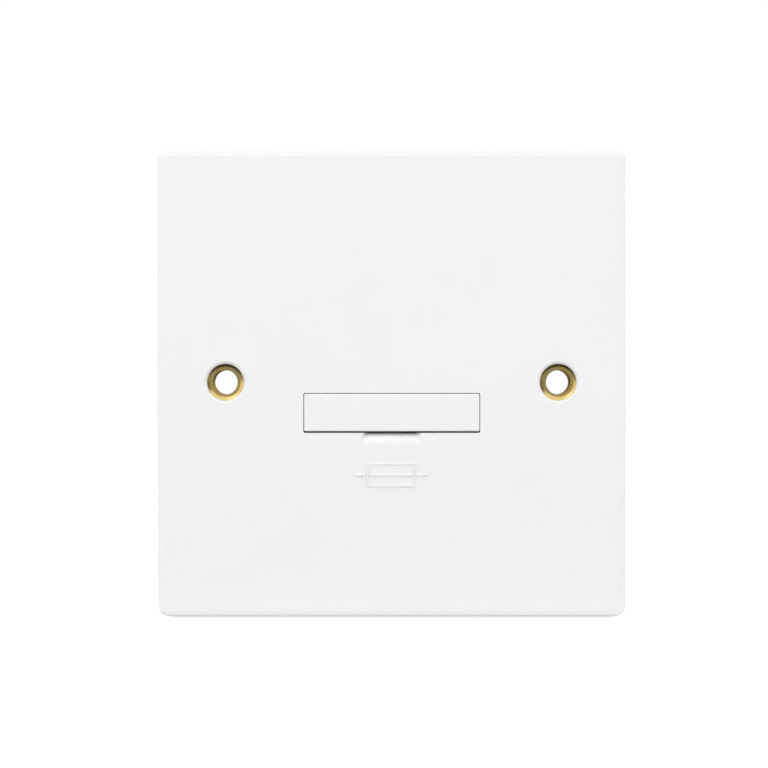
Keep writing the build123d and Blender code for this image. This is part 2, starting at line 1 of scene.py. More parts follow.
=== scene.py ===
# %% [markdown]
# # A fused spur unit
#
# The unit is a square white wall plate with two brass eyelets, a small fuse drawer
# under its middle, and a terminal base behind it. The solids come ready made, at their
# real size, in metres. This lesson gives them their finishes, adds the small shapes
# that are too fine for the solids, and lights the whole as in a plain studio.

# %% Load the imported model
import json
import math

import bmesh
import bpy
from mathutils import Matrix, Vector

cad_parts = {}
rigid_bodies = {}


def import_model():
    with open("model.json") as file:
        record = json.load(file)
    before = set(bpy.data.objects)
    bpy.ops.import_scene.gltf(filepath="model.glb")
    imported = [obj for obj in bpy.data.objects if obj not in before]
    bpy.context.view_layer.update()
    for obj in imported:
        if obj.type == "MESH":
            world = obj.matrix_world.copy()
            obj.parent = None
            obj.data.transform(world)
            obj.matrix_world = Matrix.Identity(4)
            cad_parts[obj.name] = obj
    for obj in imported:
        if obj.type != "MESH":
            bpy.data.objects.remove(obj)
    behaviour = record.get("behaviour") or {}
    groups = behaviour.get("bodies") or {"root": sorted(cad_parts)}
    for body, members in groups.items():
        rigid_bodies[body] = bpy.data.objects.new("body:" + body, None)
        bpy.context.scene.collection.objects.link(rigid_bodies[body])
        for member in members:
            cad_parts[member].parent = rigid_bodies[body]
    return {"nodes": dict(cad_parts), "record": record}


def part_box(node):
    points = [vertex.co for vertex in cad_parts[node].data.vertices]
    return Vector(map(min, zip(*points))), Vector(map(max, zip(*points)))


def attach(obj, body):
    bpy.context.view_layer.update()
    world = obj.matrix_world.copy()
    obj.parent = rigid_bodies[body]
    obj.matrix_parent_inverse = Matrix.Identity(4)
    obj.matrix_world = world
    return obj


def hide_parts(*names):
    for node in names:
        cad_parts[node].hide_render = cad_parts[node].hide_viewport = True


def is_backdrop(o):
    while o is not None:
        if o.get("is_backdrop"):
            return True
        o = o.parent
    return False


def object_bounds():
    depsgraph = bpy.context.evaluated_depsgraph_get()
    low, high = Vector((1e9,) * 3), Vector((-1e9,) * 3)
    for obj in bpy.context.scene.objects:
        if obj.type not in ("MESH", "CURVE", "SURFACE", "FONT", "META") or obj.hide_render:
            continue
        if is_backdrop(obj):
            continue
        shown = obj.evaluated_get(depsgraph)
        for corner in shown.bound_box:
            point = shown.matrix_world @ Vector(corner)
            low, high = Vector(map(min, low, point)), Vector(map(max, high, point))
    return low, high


MM = 0.001
WELD = 0.0005 * MM

for leftover in list(bpy.data.objects):
    bpy.data.objects.remove(leftover)

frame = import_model()
nodes = frame["nodes"]
record = frame["record"]
cad_low, cad_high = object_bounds()
scene = bpy.context.scene
scene.view_settings.view_transform = "Standard"

plate_low, plate_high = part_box("front_plate")
face_y = plate_low.y
print(len(nodes), "solids, box in mm:", [round(side / MM, 2) for side in cad_high - cad_low])

# %% [markdown]
# ## The camera
#
# The picture was taken square on, from about 65 cm. One millimetre of the plate's face
# covers 5.52 pixels of the 768 pixel frame, which gives the lens. The line through both
# eyelets crosses the plate's upright axis a little off the middle of the frame, so the
# camera stands off by that much, and no lens shift is needed.

# %% Place the camera
FRAME_PIXELS = 768
PIXELS_PER_MM = 5.52
AXIS_PIXEL = (391.8, 382.2)
CAMERA_DISTANCE = 650 * MM
SENSOR = 36.0

view_width = FRAME_PIXELS / PIXELS_PER_MM * MM
camera_data = bpy.data.cameras.new("studio_camera")
camera_data.sensor_width = SENSOR
camera_data.lens = SENSOR * CAMERA_DISTANCE / view_width
camera = bpy.data.objects.new("studio_camera", camera_data)
scene.collection.objects.link(camera)
camera.location = (
    (FRAME_PIXELS / 2 - AXIS_PIXEL[0]) / PIXELS_PER_MM * MM,
    face_y - CAMERA_DISTANCE,
    (AXIS_PIXEL[1] - FRAME_PIXELS / 2) / PIXELS_PER_MM * MM,
)
camera.rotation_euler = (math.radians(90), 0, 0)
camera_data.clip_start = 10 * MM
camera_data.clip_end = 20
scene.camera = camera
print("lens", round(camera_data.lens, 1), "mm, view", round(view_width / MM, 1), "mm wide")

# %% [markdown]
# ## Tools for the finishes
#
# A real surface is never one flat colour. Each finish below starts from a Principled
# shader and lets noise on the object's own coordinates move its colour, its roughness
# and its height by a little. What is the same all over is set on the shader itself.

# %% Helpers for any node
def add_node(tree, kind, **settings):
    node = tree.nodes.new(kind)
    for name, value in settings.items():
        setattr(node, name, value)
    return node


def feed(tree, source, target):
    """Link a socket to an input, or set the input to a plain value."""
    if isinstance(source, bpy.types.NodeSocket):
        tree.links.new(source, target)
    else:
        target.default_value = source


def calculate(tree, operation, *terms):
    node = add_node(tree, "ShaderNodeMath", operation=operation)
    for term, socket in zip(terms, node.inputs):
        feed(tree, term, socket)
    return node.outputs["Value"]


# %% Helpers for material nodes
def begin_finish(slot):
    material = bpy.data.materials.new(slot + "_finish")
    material.use_nodes = True
    tree = material.node_tree
    shader = tree.nodes["Principled BSDF"]
    coordinates = tree.nodes.new("ShaderNodeTexCoord").outputs["Object"]
    return material, tree, shader, coordinates


def add_grain(tree, coordinates, size, detail=2.0, stretch=(1, 1, 1)):
    """Noise whose cells are about one size across, longer along an axis with a small stretch."""
    mapping = tree.nodes.new("ShaderNodeMapping")
    mapping.inputs["Scale"].default_value = stretch
    noise = tree.nodes.new("ShaderNodeTexNoise")
    noise.inputs["Scale"].default_value = 1 / size
    noise.inputs["Detail"].default_value = detail
    tree.links.new(coordinates, mapping.inputs["Vector"])
    tree.links.new(mapping.outputs["Vector"], noise.inputs["Vector"])
    return noise.outputs["Fac"]


def add_range(tree, value, low, high):
    """Spread the middle of a noise over the numbers from low to high."""
    spread = tree.nodes.new("ShaderNodeMapRange")
    spread.inputs["From Min"].default_value = 0.3
    spread.inputs["From Max"].default_value = 0.7
    spread.inputs["To Min"].default_value = low
    spread.inputs["To Max"].default_value = high
    tree.links.new(value, spread.inputs["Value"])
    return spread.outputs["Result"]


def add_tint(tree, value, first, second):
    """Go from one colour to another with the middle of a noise."""
    mix = tree.nodes.new("ShaderNodeMix")
    mix.data_type = "RGBA"
    colours = [socket for socket in mix.inputs if socket.type == "RGBA"]
    colours[0].default_value = (*first, 1)
    colours[1].default_value = (*second, 1)
    tree.links.new(add_range(tree, value, 0, 1), mix.inputs["Factor"])
    return next(socket for socket in mix.outputs if socket.type == "RGBA")


def add_relief(tree, shader, value, depth):
    """Let a noise raise the surface by up to one depth, in the shading alone."""
    bump = tree.nodes.new("ShaderNodeBump")
    bump.inputs["Strength"].default_value = 1.0
    bump.inputs["Distance"].default_value = depth
    tree.links.new(value, bump.inputs["Height"])
    tree.links.new(bump.outputs["Normal"], shader.inputs["Normal"])


# %% [markdown]
# ## The mouldings
#
# The plate and the fuse drawer are moulded from the same hard white resin. It is close
# to neutral, smooth enough for a soft sheen, and it has a faint cloudiness and a very
# fine orange peel. The base behind is a cheaper, more matt resin with a spark-eroded
# grain.

# %% Make the mouldings
finishes = {}


def finish_moulding(slot, darker, lighter, roughness, grain_size, grain_depth):
    material, tree, shader, coordinates = begin_finish(slot)
    clouds = add_grain(tree, coordinates, 14 * MM, detail=3.0)
    tree.links.new(add_tint(tree, clouds, darker, lighter), shader.inputs["Base Color"])
    patches = add_grain(tree, coordinates, 3 * MM)
    tree.links.new(add_range(tree, patches, *roughness), shader.inputs["Roughness"])
    add_relief(tree, shader, add_grain(tree, coordinates, grain_size), grain_depth)
    finishes[slot] = material
    print("finish", slot)


finish_moulding(
    "white_moulding", (0.869, 0.869, 0.869), (0.880, 0.880, 0.880), (0.30, 0.38), 0.5 * MM, 0.0012 * MM
)
finish_moulding(
    "base_moulding", (0.70, 0.70, 0.68), (0.74, 0.74, 0.72), (0.50, 0.62), 0.12 * MM, 0.006 * MM
)

# %% [markdown]
# ## The metals
#
# The eyelets and terminals are drawn and extruded brass, a little darker where it has
# been handled. Inside the fixing holes the brass is painted darker, as shade, and is
# rougher. The clips are rolled bronze strip, redder, with long rolling marks. The
# screws are zinc-plated steel, which goes faintly blue and straw in patches, and the
# fuse caps are nickel.

# %% Make the metals
BORE_SHADE_EDGE = (2.22 * MM, 2.36 * MM)
# Painted shade: the dark brass colour set inside the fixing holes.
BORE_PAINTED_SHADE = (0.42, 0.29, 0.12)
BORE_ROUGHNESS = 0.55

bores = {mount["name"]: mount for mount in record["mounts"]}
fixing_x = bores["fixing_hole_right"]["pos_m"][0]


def shade_and_dull_bores(tree, shader, coordinates):
    """Inside the two fixing holes the brass colour is darkened as painted shade, and its roughness is
    raised.
    """
    split = tree.nodes.new("ShaderNodeSeparateXYZ")
    tree.links.new(coordinates, split.inputs["Vector"])
    across = calculate(tree, "SUBTRACT", calculate(tree, "ABSOLUTE", split.outputs["X"]), fixing_x)
    rise = split.outputs["Z"]
    squares = calculate(tree, "MULTIPLY_ADD", across, across, calculate(tree, "MULTIPLY", rise, rise))
    bore_shade_and_dull_mask = tree.nodes.new("ShaderNodeMapRange")
    bore_shade_and_dull_mask.inputs["From Min"].default_value = BORE_SHADE_EDGE[1]
    bore_shade_and_dull_mask.inputs["From Max"].default_value = BORE_SHADE_EDGE[0]
    tree.links.new(calculate(tree, "SQRT", squares), bore_shade_and_dull_mask.inputs["Value"])
    shade_and_dull_values = (("Base Color", (*BORE_PAINTED_SHADE, 1), "RGBA"), ("Roughness", BORE_ROUGHNESS, "VALUE"))
    for name, value, kind in shade_and_dull_values:
        target = shader.inputs[name]
        source = target.links[0].from_socket
        mix = tree.nodes.new("ShaderNodeMix")
        mix.data_type = "RGBA" if kind == "RGBA" else "FLOAT"
        ends = [socket for socket in mix.inputs if socket.type == kind and socket.name in "AB"]
        tree.links.new(bore_shade_and_dull_mask.outputs["Result"], mix.inputs["Factor"])
        tree.links.new(source, ends[0])
        ends[1].default_value = value
        tree.links.new(next(socket for socket in mix.outputs if socket.type == kind), target)


def finish_metal(slot, darker, lighter, roughness, patch_size, lines, line_depth):
    material, tree, shader, coordinates = begin_finish(slot)
    patches = add_grain(tree, coordinates, patch_size, detail=4.0)
    tree.links.new(add_tint(tree, patches, darker, lighter), shader.inputs["Base Color"])
    shader.inputs["Metallic"].default_value = 1.0
    marks = add_grain(tree, coordinates, 0.25 * MM, detail=3.0, stretch=lines)
    tree.links.new(add_range(tree, marks, *roughness), shader.inputs["Roughness"])
    add_relief(tree, shader, marks, line_depth)
    if slot == "brass":
        # Painted shade: the brass colour inside the fixing holes is darkened, and its roughness raised.
        shade_and_dull_bores(tree, shader, coordinates)
        shader.inputs["Specular Tint"].default_value = (0.75, 0.62, 0.35, 1)
    finishes[slot] = material
    print("finish", slot)


finish_metal(
    "brass", (0.78, 0.57, 0.20), (0.86, 0.67, 0.28), (0.18, 0.28), 2.5 * MM, (1, 0.15, 1), 0.0008 * MM
)
finish_metal(
    "spring_bronze", (0.66, 0.36, 0.17), (0.78, 0.46, 0.24), (0.22, 0.36), 3 * MM, (1, 1, 0.08), 0.001 * MM
)
finish_metal(
    "plated_steel", (0.60, 0.60, 0.60), (0.70, 0.68, 0.62), (0.24, 0.38), 1.6 * MM, (1, 1, 1), 0.001 * MM
)
finish_metal(
    "fuse_caps", (0.66, 0.64, 0.60), (0.74, 0.72, 0.68), (0.12, 0.22), 2.5 * MM, (1, 0.2, 0.2), 0.0006 * MM
)

# %% [markdown]
# ## The fuse tube
#
# A cartridge fuse has a glazed ceramic tube, a warm white with tiny specks, shinier than
# the moulding.

# %% Make the glazed ceramic
material, tree, shader, coordinates = begin_finish("fuse_ceramic")
specks = add_grain(tree, coordinates, 0.5 * MM, detail=4.0)
tree.links.new(
    add_tint(tree, specks, (0.80, 0.77, 0.69), (0.86, 0.84, 0.78)), shader.inputs["Base Color"]
)
tree.links.new(add_range(tree, specks, 0.12, 0.22), shader.inputs["Roughness"])
add_relief(tree, shader, add_grain(tree, coordinates, 1.5 * MM), 0.004 * MM)
shader.inputs["Coat Weight"].default_value = 0.5
shader.inputs["Coat Roughness"].default_value = 0.08
finishes["fuse_ceramic"] = material

for subpart in record["subparts"]:
    solid = nodes[subpart["node"]]
    for material_slot in solid.material_slots:
        material_slot.material = finishes[subpart["material_slot"]]
print(len(finishes), "finishes on", len(record["subparts"]), "solids")

# %% [markdown]
# ## Pieces
#
# Each piece made here becomes a plain mesh at the origin, with its place in its points,
# and rides on the body that carries it. The helper also sorts out the shading: smooth
# everywhere, with hard edges only where two faces meet at a clear angle.

# %% Helper for a finished piece
SMOOTH_BELOW = math.radians(32)


def add_piece(name, mesh, body, slot, *stands_for):
    mesh.name = name
    shape = bmesh.new()
    shape.from_mesh(mesh)
    bmesh.ops.remove_doubles(shape, verts=shape.verts, dist=WELD)
    bmesh.ops.recalc_face_normals(shape, faces=shape.faces)
    shape.to_mesh(mesh)
    shape.free()
    mesh.materials.clear()
    mesh.materials.append(finishes[slot])
    mesh.shade_smooth()
    mesh.set_sharp_from_angle(angle=SMOOTH_BELOW)
    piece = bpy.data.objects.new(name, mesh)
    scene.collection.objects.link(piece)
    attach(piece, body)
    if stands_for:
        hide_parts(*stands_for)
    print(name, "on", body, "with", len(mesh.polygons), "faces")
    return piece


# %% [markdown]
# ## A tree that turns pieces on a lathe
#
# Eyelets, fuse caps, screws and rivets are all turned: a profile spun about an axis. One
# node tree does it for all of them. The profile comes in as a chain of points with a
# rounding on each. A grid is then wrapped round the axis, with each row at its place
# along the profile, and a triangular wave that climbs one pitch per turn cuts the thread.
# A slot is cut last, by a boolean with a box.

# %% Helpers for geometry trees
def start_tree(name, inputs):
    tree = bpy.data.node_groups.new(name, "GeometryNodeTree")
    tree.interface.new_socket("Geometry", in_out="INPUT", socket_type="NodeSocketGeometry")
    tree.interface.new_socket("Geometry", in_out="OUTPUT", socket_type="NodeSocketGeometry")
    for label, kind in inputs.items():
        tree.interface.new_socket(label, in_out="INPUT", socket_type="NodeSocket" + kind)
    tree.interface.new_socket("Finish", in_out="INPUT", socket_type="NodeSocketMaterial")
    return tree, add_node(tree, "NodeGroupInput").outputs


def end_tree(tree, given, geometry):
    realize = add_node(tree, "GeometryNodeRealizeInstances")
    paint = add_node(tree, "GeometryNodeSetMaterial")
    result = add_node(tree, "NodeGroupOutput")
    tree.links.new(geometry, realize.inputs["Geometry"])
    tree.links.new(realize.outputs["Geometry"], paint.inputs["Geometry"])
    tree.links.new(given["Finish"], paint.inputs["Material"])
    tree.links.new(paint.outputs["Geometry"], result.inputs["Geometry"])


def run_tree(tree, mesh, values):
    """Run a tree on a mesh and give the result as a plain mesh."""
    worker = bpy.data.objects.new("worker", mesh)
    scene.collection.objects.link(worker)
    modifier = worker.modifiers.new("tree", "NODES")
    modifier.node_group = tree
    for item in tree.interface.items_tree:
        if item.in_out == "INPUT" and item.name in values:
            modifier[item.identifier] = values[item.name]
    graph = bpy.context.evaluated_depsgraph_get()
    result = bpy.data.meshes.new_from_object(worker.evaluated_get(graph))
    worker.modifiers.remove(modifier)
    bpy.data.objects.remove(worker)
    return result


# %% Build the turning tree
ROUNDING_STEPS = 6
RUN_OUT_PITCHES = 0.8

turning, given = start_tree(
    "turned_piece",
    {
        "Sides": "Int",
        "Rows": "Int",
        "Thread Pitch": "Float",
        "Thread Depth": "Float",
        "Thread Start": "Float",
        "Thread End": "Float",
        "Slot Length": "Float",
        "Slot Width": "Float",
        "Slot Depth": "Float",
        "Slot Top": "Float",
        "Slot Angle": "Float",
    },
)
to_curve = add_node(turning, "GeometryNodeMeshToCurve")
turning.links.new(given["Geometry"], to_curve.inputs["Mesh"])
rounding = add_node(turning, "GeometryNodeInputNamedAttribute", data_type="FLOAT")
rounding.inputs["Name"].default_value = "rounding"
fillet = add_node(turning, "GeometryNodeFilletCurve", mode="POLY")
fillet.inputs["Count"].default_value = ROUNDING_STEPS
fillet.inputs["Limit Radius"].default_value = True
turning.links.new(to_curve.outputs["Curve"], fillet.inputs["Curve"])
turning.links.new(rounding.outputs["Attribute"], fillet.inputs["Radius"])

grid = add_node(turning, "GeometryNodeMeshGrid")
grid.inputs["Size X"].default_value = 1.0
grid.inputs["Size Y"].default_value = 1.0
turning.links.new(calculate(turning, "ADD", given["Sides"], 1), grid.inputs["Vertices X"])
turning.links.new(given["Rows"], grid.inputs["Vertices Y"])
chart = add_node(turning, "ShaderNodeSeparateXYZ")
turning.links.new(grid.outputs["UV Map"], chart.inputs["Vector"])
turn = chart.outputs["X"]

along = add_node(turning, "GeometryNodeSampleCurve", mode="FACTOR", use_all_curves=True)
turning.links.new(fillet.outputs["Curve"], along.inputs["Curves"])
turning.links.new(chart.outputs["Y"], along.inputs["Factor"])
spot = add_node(turning, "ShaderNodeSeparateXYZ")
turning.links.new(along.outputs["Position"], spot.inputs["Vector"])
radius, height = spot.outputs["X"], spot.outputs["Z"]

climb = calculate(turning, "DIVIDE", height, given["Thread Pitch"])
wave = calculate(turning, "PINGPONG", calculate(turning, "SUBTRACT", climb, turn), 0.5)
run_out = calculate(turning, "MULTIPLY", given["Thread Pitch"], RUN_OUT_PITCHES)
after_start = calculate(turning, "SUBTRACT", height, given["Thread Start"])
before_end = calculate(turning, "SUBTRACT", given["Thread End"], height)
nearest_end = calculate(turning, "MINIMUM", after_start, before_end)
fade = calculate(turning, "DIVIDE", nearest_end, run_out)
fade.node.use_clamp = True
cut = calculate(turning, "MULTIPLY", given["Thread Depth"], calculate(turning, "MULTIPLY", wave, 2))
radius = calculate(turning, "SUBTRACT", radius, calculate(turning, "MULTIPLY", cut, fade))

angle = calculate(turning, "MULTIPLY", turn, math.tau)
place = add_node(turning, "ShaderNodeCombineXYZ")
across = calculate(turning, "MULTIPLY", radius, calculate(turning, "COSINE", angle))
upward = calculate(turning, "MULTIPLY", radius, calculate(turning, "SINE", angle))
turning.links.new(across, place.inputs["X"])
turning.links.new(upward, place.inputs["Y"])
turning.links.new(height, place.inputs["Z"])
wrap = add_node(turning, "GeometryNodeSetPosition")
turning.links.new(grid.outputs["Mesh"], wrap.inputs["Geometry"])
turning.links.new(place.outputs["Vector"], wrap.inputs["Position"])
weld = add_node(turning, "GeometryNodeMergeByDistance")
weld.inputs["Distance"].default_value = WELD
turning.links.new(wrap.outputs["Geometry"], weld.inputs["Geometry"])

cutter_size = add_node(turning, "ShaderNodeCombineXYZ")
turning.links.new(given["Slot Length"], cutter_size.inputs["X"])
turning.links.new(given["Slot Width"], cutter_size.inputs["Y"])
turning.links.new(calculate(turning, "MULTIPLY", given["Slot Depth"], 2), cutter_size.inputs["Z"])
cutter = add_node(turning, "GeometryNodeMeshCube")
turning.links.new(cutter_size.outputs["Vector"], cutter.inputs["Size"])
cutter_spot = add_node(turning, "ShaderNodeCombineXYZ")
turning.links.new(given["Slot Top"], cutter_spot.inputs["Z"])
cutter_turn = add_node(turning, "ShaderNodeCombineXYZ")
turning.links.new(given["Slot Angle"], cutter_turn.inputs["Z"])
set_cutter = add_node(turning, "GeometryNodeTransform")
turning.links.new(cutter.outputs["Mesh"], set_cutter.inputs["Geometry"])
turning.links.new(cutter_spot.outputs["Vector"], set_cutter.inputs["Translation"])
turning.links.new(cutter_turn.outputs["Vector"], set_cutter.inputs["Rotation"])
slotted = add_node(turning, "GeometryNodeMeshBoolean", operation="DIFFERENCE", solver="EXACT")
turning.links.new(weld.outputs["Geometry"], slotted.inputs["Mesh 1"])
turning.links.new(set_cutter.outputs["Geometry"], slotted.inputs["Mesh 2"])
choose = add_node(turning, "GeometryNodeSwitch", input_type="GEOMETRY")
turning.links.new(calculate(turning, "GREATER_THAN", given["Slot Width"], 0), choose.inputs["Switch"])
turning.links.new(weld.outputs["Geometry"], choose.inputs["False"])
turning.links.new(slotted.outputs["Mesh"], choose.inputs["True"])
end_tree(turning, given, choose.outputs["Output"])
print("turning tree with", len(turning.nodes), "nodes")

# %% Helper that turns one piece
ALONG_Y = Matrix.Rotation(math.radians(-90), 4, "X")
ALONG_X = Matrix.Rotation(math.radians(90), 4, "Y")


def turn_mesh(points, closed, place, slot, sides, rows, **sizes):
    """Spin points of (radius, height, rounding) about an axis, and set the result in its place."""
    profile = bpy.data.meshes.new("profile")
    chain = [(number, number + 1) for number in range(len(points) - 1)]
    if closed:
        chain.append((len(points) - 1, 0))
    profile.from_pydata([(radius, 0, height) for radius, height, _ in points], chain, [])
    attribute = profile.attributes.new("rounding", "FLOAT", "POINT")
    for entry, point in zip(attribute.data, points):
        entry.value = point[2]
    values = {"Sides": sides, "Rows": rows, "Finish": finishes[slot]}
    for name, size in sizes.items():
        values[name.replace("_", " ").title()] = size
    mesh = run_tree(turning, profile, values)
    mesh.transform(place)
    return mesh


# %% [markdown]
# ## The eyelets
#
# Each fixing hole is lined with a brass eyelet, spread to a shallow dish at the front and
# clinched flat behind. The solids have a plain bevel there. The turned ones have the
# hollow of the dish, because it gathers the light: bright below, dark above. The rim of
# the dish is spread a little onto the bevelled edge of its recess.

# %% Turn the eyelets
EYELET_WALL = 0.5 * MM
EYELET_RIM = 0.8 * MM
EYELET_SPREAD = 0.13 * MM
EYELET_LIP = 0.03 * MM
DISH_FLOOR = 0.2 * MM
DISH_HOLLOW = 1.6 * MM
DISH_STEPS = 8

for side in ("left", "right"):
    node = "eyelet_" + side
    low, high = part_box(node)
    middle = (low + high) / 2
    bore = bores["fixing_hole_" + side]["dims"]["r_mm"] * MM
    flange = (high.x - low.x) / 2
    tube = bore + EYELET_WALL
    front, rear = low.y, high.y
    rim = flange + EYELET_SPREAD
    mouth = front - EYELET_SPREAD
    reach = rim - EYELET_LIP - bore - DISH_FLOOR
    depth = DISH_HOLLOW - math.sqrt(DISH_HOLLOW**2 - reach**2)
    outline = [(bore, mouth + depth, 0.12 * MM)]
    for step in range(DISH_STEPS + 1):
        across = reach * step / DISH_STEPS
        rise = DISH_HOLLOW - math.sqrt(DISH_HOLLOW**2 - across**2)
        outline.append((bore + DISH_FLOOR + across, mouth + depth - rise, 0.02 * MM))
    outline += [
        (rim, mouth, 0.01 * MM),
        (flange, front, 0.02 * MM),
        (flange, front + EYELET_RIM, 0.05 * MM),
        (tube, front + EYELET_RIM, 0.05 * MM),
        (tube, rear - EYELET_WALL, 0.05 * MM),
        (flange, rear - EYELET_WALL, 0.15 * MM),
        (flange, rear, 0.25 * MM),
        (bore, rear, 0.25 * MM),
    ]
    spot = Matrix.Translation((middle.x, 0, middle.z)) @ ALONG_Y
    mesh = turn_mesh(outline, True, spot, "brass", sides=96, rows=320)
    add_piece("turned_" + node, mesh, "plate", "brass", node)

# %% [markdown]
# ## The screws
#
# Six terminal screws and two base screws have a slotted cheese head and a cut thread. A
# thread is only a wave on the shank, so it stays inside the plain shank of the solid.
# The slots stand at different angles, as an assembler leaves them.

# %% Turn the screws
SCREW_TURN = math.radians(35)


def turn_screw(x, z, tip, top, sizes, number):
    """A slotted screw whose tip and head top are at two depths along Y."""
    shank, head = sizes["shank"] / 2, sizes["head"] / 2
    seat = top - sizes["head_height"]
    point = 1.2 * sizes["thread"]
    outline = [
        (0, tip, 0),
        (shank - point, tip, 0.08 * MM),
        (shank, tip + point, 0.08 * MM),
        (shank, seat, 0.12 * MM),
        (head, seat, 0.12 * MM),
        (head, top, 0.28 * MM),
        (0, top, 0),
    ]
    return turn_mesh(
        outline,
        False,
        Matrix.Translation((x, 0, z)) @ ALONG_Y,
        "plated_steel",
        sides=48,
        rows=200,
        thread_pitch=sizes["pitch"],
        thread_depth=sizes["thread"],
        thread_start=tip + 0.1 * MM,
        thread_end=seat - 0.4 * MM,
        slot_length=3 * head,
        slot_width=sizes["slot"],
        slot_depth=sizes["slot_depth"],
        slot_top=top,
        slot_angle=-number * SCREW_TURN,
    )


TERMINAL_SCREW = {
    "shank": 3.5 * MM,
    "head": 6.0 * MM,
    "head_height": 1.8 * MM,
    "pitch": 0.6 * MM,
    "thread": 0.32 * MM,
    "slot": 1.0 * MM,
    "slot_depth": 0.9 * MM,
}
terminal_screws = [name for name in nodes if name.endswith("_screw")]
for number, node in enumerate(terminal_screws):
    low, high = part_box(node)
    middle = (low + high) / 2
    mesh = turn_screw(middle.x, middle.z, low.y, high.y, TERMINAL_SCREW, number)
    add_piece("threaded_" + node, mesh, node, "plated_steel", node)

# %% Turn the base screws
BASE_SCREW = {
    "shank": 2.5 * MM,
    "head": 5.4 * MM,
    "head_height": 1.6 * MM,
    "pitch": 0.9 * MM,
    "thread": 0.3 * MM,
    "slot": 0.8 * MM,
    "slot_depth": 0.7 * MM,
}


def join_meshes(name, meshes):
    joined = bmesh.new()
    for mesh in meshes:
        joined.from_mesh(mesh)
    result = bpy.data.meshes.new(name)
    joined.to_mesh(result)
    joined.free()
    return result


low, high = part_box("base_screws")
reach = BASE_SCREW["head"] / 2
spots = [(low.x + reach, high.z - reach), (high.x - reach, low.z + reach)]
pair = [turn_screw(x, z, low.y, high.y, BASE_SCREW, number) for number, (x, z) in enumerate(spots)]
add_piece("threaded_base_screws", join_meshes("base_screws", pair), "plate", "plated_steel", "base_screws")

# %% [markdown]
# ## The fuse caps
#
# A fuse cap is a drawn cup with a round edge, and a groove rolled into its skirt holds
# it on the tube.

# %% Turn the fuse caps
CAP_WALL = 0.3 * MM
CAP_EDGE = 0.55 * MM
GROOVE_DEPTH = 0.12 * MM
GROOVE_WIDTH = 0.8 * MM
GROOVE_SETBACK = 1.1 * MM

for side, sign in (("left", -1), ("right", 1)):
    node = "fuse_cap_" + side
    low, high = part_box(node)
    middle = (low + high) / 2
    skirt = (high.z - low.z) / 2
    end = high.x if sign > 0 else low.x
    mouth = low.x if sign > 0 else high.x
    groove = mouth + sign * GROOVE_SETBACK
    half_groove = sign * GROOVE_WIDTH / 2
    outline = [
        (0, end, 0),
        (skirt, end, CAP_EDGE),
        (skirt, groove + half_groove, 0.2 * MM),
        (skirt - GROOVE_DEPTH, groove, 0.3 * MM),
        (skirt, groove - half_groove, 0.2 * MM),
        (skirt, mouth, 0.1 * MM),
        (skirt - CAP_WALL, mouth, 0.05 * MM),
        (skirt - CAP_WALL, end - sign * CAP_WALL, CAP_EDGE - CAP_WALL),
        (0, end - sign * CAP_WALL, 0),
    ]
    spot = Matrix.Translation((0, middle.y, middle.z)) @ ALONG_X
    mesh = turn_mesh(outline, False, spot, "fuse_caps", sides=72, rows=220)
    add_piece("drawn_" + node, mesh, "carrier", "fuse_caps", node)

# %% [markdown]
# ## Raised signs
#
# Under the notch the plate carries the usual fuse sign: a small box with a line through
# it, moulded as a low rib with sloping flanks, a millimetre wide at its foot. A rib
# follows a path, so a second tree sweeps a rounded section along a chain of edges. The
# same tree makes the earth signs on the base.

# %% Build the rib tree
RIB_STEPS = 4

rib_sizes = ("Foot", "Crown", "Rise", "Edge")
ribs, given = start_tree("raised_ribs", {size: "Float" for size in rib_sizes})
to_curve = add_node(ribs, "GeometryNodeMeshToCurve")
ribs.links.new(given["Geometry"], to_curve.inputs["Mesh"])
upright = add_node(ribs, "GeometryNodeSetCurveNormal", mode="Z_UP")
ribs.links.new(to_curve.outputs["Curve"], upright.inputs["Curve"])
section = add_node(ribs, "GeometryNodeCurvePrimitiveQuadrilateral", mode="TRAPEZOID")
ribs.links.new(given["Foot"], section.inputs["Bottom Width"])
ribs.links.new(given["Crown"], section.inputs["Top Width"])
ribs.links.new(given["Rise"], section.inputs["Height"])
section.inputs["Offset"].default_value = 0
soften_edge = add_node(ribs, "GeometryNodeFilletCurve", mode="POLY")
soften_edge.inputs["Count"].default_value = RIB_STEPS
soften_edge.inputs["Limit Radius"].default_value = True
ribs.links.new(section.outputs["Curve"], soften_edge.inputs["Curve"])
ribs.links.new(given["Edge"], soften_edge.inputs["Radius"])
sweep = add_node(ribs, "GeometryNodeCurveToMesh")
sweep.inputs["Fill Caps"].default_value = True
ribs.links.new(upright.outputs["Curve"], sweep.inputs["Curve"])
ribs.links.new(soften_edge.outputs["Curve"], sweep.inputs["Profile Curve"])
end_tree(ribs, given, sweep.outputs["Mesh"])

# %% Raise the fuse sign
FACING_FRONT = Matrix(((1, 0, 0, 0), (0, 0, -1, 0), (0, 1, 0, 0), (0, 0, 0, 1)))
FACING_REAR = Matrix(((-1, 0, 0, 0), (0, 0, 1, 0), (0, 1, 0, 0), (0, 0, 0, 1)))
SINK = 0.05 * MM
SIGN_WIDTH = 8.45 * MM
SIGN_HEIGHT = 4.0 * MM
SIGN_LINE = 13.2 * MM
SIGN_DROP = 16.8 * MM
SIGN_SIDE = -0.13 * MM
SIGN_RIB = {"Foot": 1.0 * MM, "Crown": 0.4 * MM, "Rise": 0.2 * MM, "Edge": 0.15 * MM}


def raise_ribs(points, chain, sizes, slot, facing, spot):
    """Sweep ribs along edges in a flat drawing, and set them on a face that looks along Y."""
    drawing = bpy.data.meshes.new("drawing")
    drawing.from_pydata([(x, y, 0) for x, y in points], chain, [])
    mesh = run_tree(ribs, drawing, {**sizes, "Finish": finishes[slot]})
    lift = Matrix.Translation((0, 0, sizes["Rise"] / 2 - SINK))
    mesh.transform(Matrix.Translation(spot) @ facing @ lift)
    return mesh


